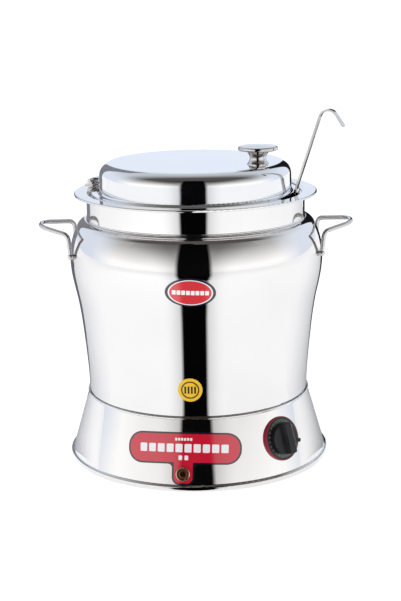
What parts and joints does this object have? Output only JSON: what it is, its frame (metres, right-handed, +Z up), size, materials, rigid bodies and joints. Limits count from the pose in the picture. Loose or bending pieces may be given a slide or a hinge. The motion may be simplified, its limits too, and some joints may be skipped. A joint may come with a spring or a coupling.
{
  "type": "soup kettle",
  "caption": "Electric buffet soup kettle: flared heated base, urn-shaped steel housing with wire handles, lift-out pot, hinged lid, hooked ladle and a thermostat knob.",
  "frame": {"origin": "on the kettle's vertical axis, at the surface that the feet stand on", "axes": "+Z up along the kettle's axis; -Y towards the front, where the control label is; the wire handles point along +X and -X"},
  "size_m": [0.393, 0.33, 0.4419],
  "materials": {
    "polished_steel": "mirror-polished stainless steel",
    "polished_fittings": "polished stainless steel",
    "plain_steel": "mill-finish stainless steel",
    "zinc_steel": "zinc-plated steel",
    "foot_rubber": "matte black rubber",
    "mineral_wool": "yellowish fibre blanket",
    "heater_aluminium": "cast aluminium plate",
    "element_sheath": "dark heat-tinted sheath",
    "white_ceramic": "white ceramic or moulded insulator",
    "black_plastic_matte": "matte black moulding",
    "capillary_copper": "copper",
    "dial_enamel": "dark grey printed plate with a dark red edge",
    "knob_plastic": "black moulded knob, semi-gloss",
    "red_label": "glossy red label with plain white bars",
    "lamp_ring": "cream-copper ring",
    "lamp_lens": "dark amber lens",
    "badge_enamel": "red field, white line, navy edge",
    "yellow_sticker": "yellow sticker"
  },
  "bodies": {
    "housing": {"base_skirt": "polished_steel", "base_plate": "plain_steel", "base_brackets": "zinc_steel", "bracket_nuts": "zinc_steel", "feet": "foot_rubber", "foot_screws": "zinc_steel", "housing_shell": "polished_steel", "floor_disc": "plain_steel", "joint_bolts": "zinc_steel", "joint_nuts": "zinc_steel", "neck_collar": "polished_steel", "water_well": "plain_steel", "insulation": "mineral_wool", "heater_plate": "heater_aluminium", "heating_element": "element_sheath", "element_bushes": "white_ceramic", "element_terminals": "zinc_steel", "element_clamp": "zinc_steel", "clamp_bolt": "zinc_steel", "thermal_cutout": "black_plastic_matte", "heat_shield": "plain_steel", "shield_spacers": "zinc_steel", "dial_plate": "dial_enamel", "thermostat_body": "black_plastic_matte", "thermostat_nut": "zinc_steel", "capillary_bulb": "capillary_copper", "bulb_clips": "zinc_steel", "control_label": "red_label", "pilot_lamp_bezel": "lamp_ring", "pilot_lamp_body": "black_plastic_matte", "pilot_lamp_lens": "lamp_lens", "lamp_nut": "black_plastic_matte", "oval_badge": "badge_enamel", "round_sticker": "yellow_sticker", "cord_gland": "black_plastic_matte", "gland_nut": "black_plastic_matte", "terminal_block": "white_ceramic", "terminal_screws": "zinc_steel", "earth_stud": "zinc_steel", "left_handle": "polished_fittings", "right_handle": "polished_fittings"},
    "pot": {"soup_pot": "polished_steel", "lid_seat_ring": "polished_fittings", "hinge_rim_leaf": "polished_fittings", "hinge_pin": "polished_fittings", "rim_leaf_rivets": "polished_fittings"},
    "lid": {"lid": "polished_steel", "lid_knob": "polished_fittings", "knob_washer": "plain_steel", "knob_screw": "plain_steel", "hinge_lid_leaf": "polished_fittings", "lid_leaf_rivets": "polished_fittings"},
    "ladle": {"ladle_bowl": "polished_fittings", "ladle_handle": "polished_fittings", "ladle_rivets": "polished_fittings"},
    "control_knob": {"control_knob": "knob_plastic", "thermostat_shaft": "plain_steel"}
  },
  "joints": [
    {"name": "pot_lift", "type": "slide", "parent": "housing", "child": "pot", "axis": [0, 0, 1], "range_m": [0, 0.25]},
    {"name": "lid_hinge", "type": "hinge", "parent": "pot", "child": "lid", "pos_m": [-0.12763, 0.06225, 0.344], "axis": [-0.4384, -0.8988, 0], "range_deg": [0, 105]},
    {"name": "ladle_lift", "type": "slide", "parent": "pot", "child": "ladle", "axis": [0.297, -0.0965, 0.95], "range_m": [0, 0.12]},
    {"name": "thermostat_turn", "type": "hinge", "parent": "housing", "child": "control_knob", "pos_m": [0.10041, -0.11151, 0.0489], "axis": [-0.6426, 0.7137, -0.2788], "range_deg": [0, 270]}
  ]
}
